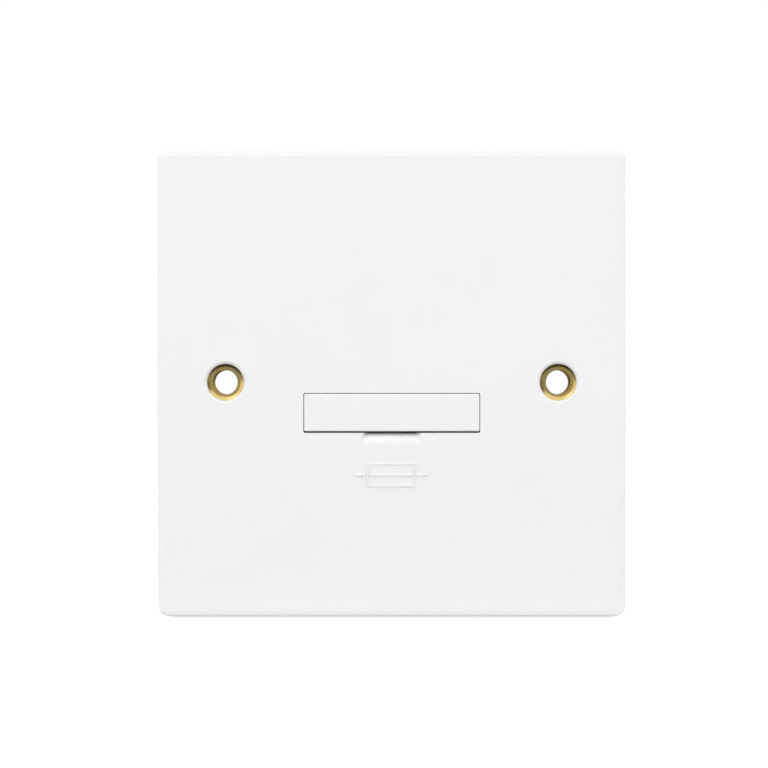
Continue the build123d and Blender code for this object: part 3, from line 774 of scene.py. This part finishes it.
box_corners = [
    (side * SIGN_WIDTH / 2, row * SIGN_HEIGHT / 2) for side, row in ((-1, -1), (1, -1), (1, 1), (-1, 1))
]
flank = (SIGN_RIB["Foot"] + SIGN_RIB["Crown"]) / 4
stops = [SIGN_WIDTH / 2 - flank, SIGN_WIDTH / 2 + flank, SIGN_LINE / 2]
line_ends = [(x, 0) for x in (-stops[2], -stops[1], -stops[0], stops[0], stops[1], stops[2])]
mesh = raise_ribs(
    box_corners + line_ends,
    [(0, 1), (1, 2), (2, 3), (3, 0), (4, 5), (6, 7), (8, 9)],
    SIGN_RIB,
    "white_moulding",
    FACING_FRONT,
    (SIGN_SIDE, face_y, -SIGN_DROP),
)
add_piece("fuse_sign", mesh, "plate", "white_moulding")

# %% [markdown]
# ## Terminal marks
#
# Behind, each terminal has a raised mark on the base: L, N or the earth sign, with the
# words SUPPLY and LOAD between the rows. Letters are text turned into a mesh, set to read
# from behind. A mark stands three quarters of the way from its screw to the base's edge,
# and a word a little under halfway from the middle to its row.

# %% Raise the terminal marks
MARK_HEIGHT = 2.0 * MM
MARK_RISE = 0.2 * MM
WORD_HEIGHT = 2.4 * MM
CAPITAL_SHARE = 0.7
MARK_PLACE = 0.75
WORD_PLACE = 0.45
EARTH_RIB = {"Foot": 0.36 * MM, "Crown": 0.28 * MM, "Rise": 0.25 * MM, "Edge": 0.04 * MM}

base_low, base_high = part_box("rear_base")


def letter_mesh(text, size, x, z):
    font_curve = bpy.data.curves.new("mark", "FONT")
    font_curve.body = text
    font_curve.size = size / CAPITAL_SHARE
    font_curve.extrude = (MARK_RISE + SINK) / 2
    font_curve.resolution_u = 3
    font_curve.align_x = "CENTER"
    font_curve.align_y = "CENTER"
    worker = bpy.data.objects.new("mark", font_curve)
    scene.collection.objects.link(worker)
    graph = bpy.context.evaluated_depsgraph_get()
    mesh = bpy.data.meshes.new_from_object(worker.evaluated_get(graph))
    bpy.data.objects.remove(worker)
    lift = Matrix.Translation((0, 0, (MARK_RISE - SINK) / 2))
    mesh.transform(Matrix.Translation((x, base_high.y, z)) @ FACING_REAR @ lift)
    return mesh


def earth_mesh(x, z):
    """A short stem over three bars, each shorter than the one above."""
    step = MARK_HEIGHT / 4
    points = [(0, MARK_HEIGHT / 2), (0, 0)]
    chain = [(0, 1)]
    for bar in range(3):
        half = MARK_HEIGHT / 2 * (3 - bar) / 3
        chain.append((len(points), len(points) + 1))
        points += [(-half, -bar * step), (half, -bar * step)]
    return raise_ribs(points, chain, EARTH_RIB, "base_moulding", FACING_REAR, (x, base_high.y, z))


marks = []
for node in terminal_screws:
    low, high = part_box(node)
    middle = (low + high) / 2
    edge = base_high.z if "supply" in node else base_low.z
    mark_z = middle.z + MARK_PLACE * (edge - middle.z)
    if node.startswith("earth"):
        marks.append(earth_mesh(middle.x, mark_z))
    else:
        letter = "N" if node.startswith("neutral") else "L"
        marks.append(letter_mesh(letter, MARK_HEIGHT, middle.x, mark_z))
rows = {}
for node in terminal_screws:
    low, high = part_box(node)
    rows["SUPPLY" if "supply" in node else "LOAD"] = (low.z + high.z) / 2
middle_z = sum(rows.values()) / len(rows)
for word, row_z in rows.items():
    marks.append(letter_mesh(word, WORD_HEIGHT, 0, middle_z + WORD_PLACE * (row_z - middle_z)))
add_piece("terminal_marks", join_meshes("marks", marks), "plate", "base_moulding")

# %% [markdown]
# ## Rivets and ejector marks
#
# Rivets hold the clips and the earth strap to their terminals, and the pins that pushed
# the plate out of its mould left shallow round marks on its back. Both repeat, so a third
# tree sets one turned shape on each point of a mesh.

# %% Build the tree that sets a shape on points
studs, given = start_tree("studs_on_points", {"Shape": "Object"})
fetch = add_node(studs, "GeometryNodeObjectInfo", transform_space="ORIGINAL")
studs.links.new(given["Shape"], fetch.inputs["Object"])
plant = add_node(studs, "GeometryNodeInstanceOnPoints")
studs.links.new(given["Geometry"], plant.inputs["Points"])
studs.links.new(fetch.outputs["Geometry"], plant.inputs["Instance"])
end_tree(studs, given, plant.outputs["Instances"])


def set_on_points(outline, points, slot, sides, rows):
    """Turn one small shape about Y and set it on each point."""
    shape = bpy.data.objects.new("stud", turn_mesh(outline, False, ALONG_Y, slot, sides, rows))
    scene.collection.objects.link(shape)
    dots = bpy.data.meshes.new("dots")
    dots.from_pydata(points, [], [])
    mesh = run_tree(studs, dots, {"Shape": shape, "Finish": finishes[slot]})
    bpy.data.objects.remove(shape)
    return mesh


# %% Set the rivets
RIVET_RADIUS = 1.2 * MM
RIVET_RISE = 0.5 * MM
STRIP = 0.6 * MM

rivet_points = []
for line in ("line_supply", "line_load"):
    low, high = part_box(line + "_terminal")
    rivet_points.append(((low.x + high.x) / 2, low.y - STRIP, (low.z + high.z) / 2))
bar_low, bar_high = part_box("earth_bar")
strap_low, strap_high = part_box("earth_strap")
rivet_points.append(
    ((strap_low.x + bar_high.x) / 2, bar_low.y - STRIP, (strap_low.z + strap_high.z) / 2)
)
rivet = [
    (0, SINK, 0),
    (RIVET_RADIUS, SINK, 0),
    (RIVET_RADIUS, -0.4 * RIVET_RISE, 0.2 * MM),
    (0.6 * RIVET_RADIUS, -RIVET_RISE, 0.3 * MM),
    (0, -RIVET_RISE, 0),
]
mesh = set_on_points(rivet, rivet_points, "brass", sides=32, rows=40)
add_piece("rivets", mesh, "plate", "brass")

# %% Set the ejector marks
FACE_WALL = 2.6 * MM
EJECTOR_RADIUS = 2.4 * MM
EJECTOR_RISE = 0.12 * MM
EJECTOR_INSET = 8.5 * MM

back_y = face_y + FACE_WALL
reach = plate_high.x - EJECTOR_INSET
ejector_points = [(x * reach, back_y, z * reach) for x in (-1, 0, 1) for z in (-1, 1)]
ejector = [
    (0, EJECTOR_RISE * 0.5, 0),
    (EJECTOR_RADIUS - 0.4 * MM, EJECTOR_RISE * 0.5, 0.1 * MM),
    (EJECTOR_RADIUS - 0.3 * MM, EJECTOR_RISE, 0.1 * MM),
    (EJECTOR_RADIUS, EJECTOR_RISE, 0.06 * MM),
    (EJECTOR_RADIUS, -SINK, 0),
    (0, -SINK, 0),
]
mesh = set_on_points(ejector, ejector_points, "white_moulding", sides=40, rows=60)
add_piece("ejector_marks", mesh, "plate", "white_moulding")

# %% [markdown]
# ## Softened mouldings
#
# Real mouldings have no knife edges. A copy of each moulded solid is merged into one
# skin, its flat triangles are joined into whole faces, and a Bevel modifier rounds every
# hard edge by about a twentieth of a millimetre, or a tenth on the base. Weighted normals
# keep the large faces flat in the shading, and the gentle bevel round the face keeps a
# sharp border, so that it shows as a band of one tone. The copy keeps the solid's form.

# %% Soften the mouldings
SKIN_WELD = 0.001 * MM
FLAT_WITHIN = math.radians(0.4)
FLAT_AREA = 200 * MM * MM
GENTLE = math.radians(5)
HARD = math.radians(28)


def soften(node, name, radius, body, slot):
    mesh = nodes[node].data.copy()
    mesh.name = name
    shape = bmesh.new()
    shape.from_mesh(mesh)
    bmesh.ops.remove_doubles(shape, verts=shape.verts, dist=SKIN_WELD)
    bmesh.ops.dissolve_limit(shape, angle_limit=FLAT_WITHIN, verts=shape.verts, edges=shape.edges)
    for edge in shape.edges:
        areas = [face.calc_area() for face in edge.link_faces]
        if len(areas) == 2 and max(areas) > FLAT_AREA:
            edge.smooth = not GENTLE < edge.calc_face_angle() < HARD
    for face in shape.faces:
        face.smooth = True
    clean = bpy.data.meshes.new(name)
    shape.to_mesh(clean)
    shape.free()
    worker = bpy.data.objects.new(name, clean)
    scene.collection.objects.link(worker)
    bevel = worker.modifiers.new("edges", "BEVEL")
    bevel.width = radius
    bevel.segments = 3
    bevel.limit_method = "ANGLE"
    bevel.angle_limit = HARD
    bevel.use_clamp_overlap = True
    weigh = worker.modifiers.new("flat_faces_first", "WEIGHTED_NORMAL")
    weigh.weight = 100
    weigh.keep_sharp = True
    graph = bpy.context.evaluated_depsgraph_get()
    result = bpy.data.meshes.new_from_object(worker.evaluated_get(graph))
    worker.modifiers.clear()
    bpy.data.objects.remove(worker)
    result.materials.clear()
    result.materials.append(finishes[slot])
    piece = bpy.data.objects.new(name, result)
    scene.collection.objects.link(piece)
    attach(piece, body)
    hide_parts(node)
    print(name, "with", len(result.polygons), "faces")


soften("front_plate", "moulded_front_plate", 0.06 * MM, "plate", "white_moulding")
soften("fuse_carrier", "moulded_fuse_carrier", 0.05 * MM, "carrier", "white_moulding")
soften("rear_base", "moulded_rear_base", 0.12 * MM, "plate", "base_moulding")

# %% [markdown]
# ## Floor, world and lamps
#
# The unit stands on a plain floor between two large soft lamps, one on each side and both
# above it. A small third lamp gives the metal a glint, and a fourth lights the back. The
# floor and the world are white where the camera or a reflection sees them, and give much
# less light than that to the unit, so that its own pale tones stay below white.

# %% Lay the floor
FLOOR_SIDE = 6.0
FLOOR_TONE = 0.66
FLOOR_GLOW = 0.85

floor_mesh = bpy.data.meshes.new("floor")
half = FLOOR_SIDE / 2
floor_z = cad_low.z
floor_mesh.from_pydata(
    [(-half, -half, floor_z), (half, -half, floor_z), (half, half, floor_z), (-half, half, floor_z)],
    [],
    [(0, 1, 2, 3)],
)
floor = bpy.data.objects.new("floor", floor_mesh)
scene.collection.objects.link(floor)
floor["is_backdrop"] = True

floor_finish = bpy.data.materials.new("floor_paint")
floor_finish.use_nodes = True
tree = floor_finish.node_tree
tree.nodes.clear()
paint = add_node(tree, "ShaderNodeBsdfDiffuse")
paint.inputs["Color"].default_value = (FLOOR_TONE, FLOOR_TONE, FLOOR_TONE, 1)
glow = add_node(tree, "ShaderNodeEmission")
rays = add_node(tree, "ShaderNodeLightPath")
seen = calculate(tree, "MAXIMUM", rays.outputs["Is Camera Ray"], rays.outputs["Is Glossy Ray"])
seen = calculate(tree, "MAXIMUM", seen, rays.outputs["Is Transmission Ray"])
tree.links.new(calculate(tree, "MULTIPLY", seen, FLOOR_GLOW), glow.inputs["Strength"])
both = add_node(tree, "ShaderNodeAddShader")
result = add_node(tree, "ShaderNodeOutputMaterial")
tree.links.new(paint.outputs["BSDF"], both.inputs[0])
tree.links.new(glow.outputs["Emission"], both.inputs[1])
tree.links.new(both.outputs["Shader"], result.inputs["Surface"])
floor_mesh.materials.append(floor_finish)

# %% Set the world
WORLD_LIGHT = 0.54

world = bpy.data.worlds.new("studio")
world.use_nodes = True
scene.world = world
tree = world.node_tree
backdrop = tree.nodes["Background"]
backdrop.inputs["Color"].default_value = (1, 1, 1, 1)
rays = add_node(tree, "ShaderNodeLightPath")
seen = calculate(tree, "MAXIMUM", rays.outputs["Is Camera Ray"], rays.outputs["Is Glossy Ray"])
seen = calculate(tree, "MAXIMUM", seen, rays.outputs["Is Transmission Ray"])
strength = calculate(tree, "MULTIPLY_ADD", seen, 1 - WORLD_LIGHT, WORLD_LIGHT)
tree.links.new(strength, backdrop.inputs["Strength"])


# %% Hang the lamps
def hang_lamp(name, spot, side, power, glossy=True):
    lamp = bpy.data.lights.new(name, "AREA")
    lamp.shape = "SQUARE"
    lamp.size = side
    lamp.energy = power
    holder = bpy.data.objects.new(name, lamp)
    scene.collection.objects.link(holder)
    holder.location = spot
    holder.visible_glossy = glossy
    holder.rotation_euler = (-Vector(spot)).to_track_quat("-Z", "Y").to_euler()
    print(name, "at", spot, "with", power, "W")


hang_lamp("left_lamp", (-1.0, -0.74, 0.76), 1.4, 10.9, glossy=False)
hang_lamp("right_lamp", (1.0, -0.72, 0.76), 1.4, 10.1, glossy=False)
hang_lamp("glint_lamp", (-0.5, -0.7, 0.75), 0.6, 0.6)
hang_lamp("rear_lamp", (0.5, 1.2, 0.35), 0.8, 4.4)

# %% [markdown]
# ## Dark cards
#
# Bright metal in an all-white room looks like yellow paper. A photographer sets dark
# cards out of sight, so that the metal has something dark to show. Here one lies close
# to the unit's foot, a paler one lies in front of it, and two stand behind the camera and
# to the right. Two more lie and stand behind the unit, for the terminals. Only
# reflections see them.

# %% Set the dark cards
CARD_REACH = 0.8
CARD_FAR = 1.6
CARD_TOP = 0.5
CARD_LIFT = 0.2 * MM


def set_card(name, tone, corners):
    mesh = bpy.data.meshes.new(name)
    mesh.from_pydata(corners, [], [(0, 1, 2, 3)])
    finish = bpy.data.materials.new(name + "_paint")
    finish.use_nodes = True
    shader = finish.node_tree.nodes["Principled BSDF"]
    shader.inputs["Base Color"].default_value = (tone, tone, tone, 1)
    shader.inputs["Roughness"].default_value = 1.0
    mesh.materials.append(finish)
    card = bpy.data.objects.new(name, mesh)
    scene.collection.objects.link(card)
    card.visible_camera = False
    card.visible_diffuse = False
    card.visible_shadow = False
    card.visible_transmission = False
    card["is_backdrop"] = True
    print(name, "with tone", tone)


def lying_card(name, tone, near, far):
    height = floor_z + CARD_LIFT
    sides = ((-CARD_REACH, near), (CARD_REACH, near), (CARD_REACH, far), (-CARD_REACH, far))
    set_card(name, tone, [(x, y, height) for x, y in sides])


def standing_card(name, tone, start, end):
    set_card(name, tone, [(*start, floor_z), (*end, floor_z), (*end, CARD_TOP), (*start, CARD_TOP)])


lying_card("foot_card", 0.02, -0.022, -0.085)
lying_card("front_card", 0.27, -0.085, -CARD_FAR)
lying_card("back_card", 0.36, 0.05, CARD_FAR)
standing_card("camera_card", 0.42, (-CARD_REACH, -CARD_FAR), (CARD_REACH, -CARD_FAR))
standing_card("right_card", 0.18, (CARD_REACH, -CARD_FAR), (CARD_REACH, 0.0))
standing_card("rear_card", 0.5, (-CARD_REACH, CARD_FAR), (CARD_REACH, CARD_FAR))

# %% [markdown]
# ## Sizes
#
# Nothing above may change the unit's real size, so both boxes are written down to be
# compared: that of the solids, and that of the dressed unit.

# %% Write the two boxes and finish
low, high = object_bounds()
print("dressed box in mm:", [round(side / MM, 2) for side in high - low])
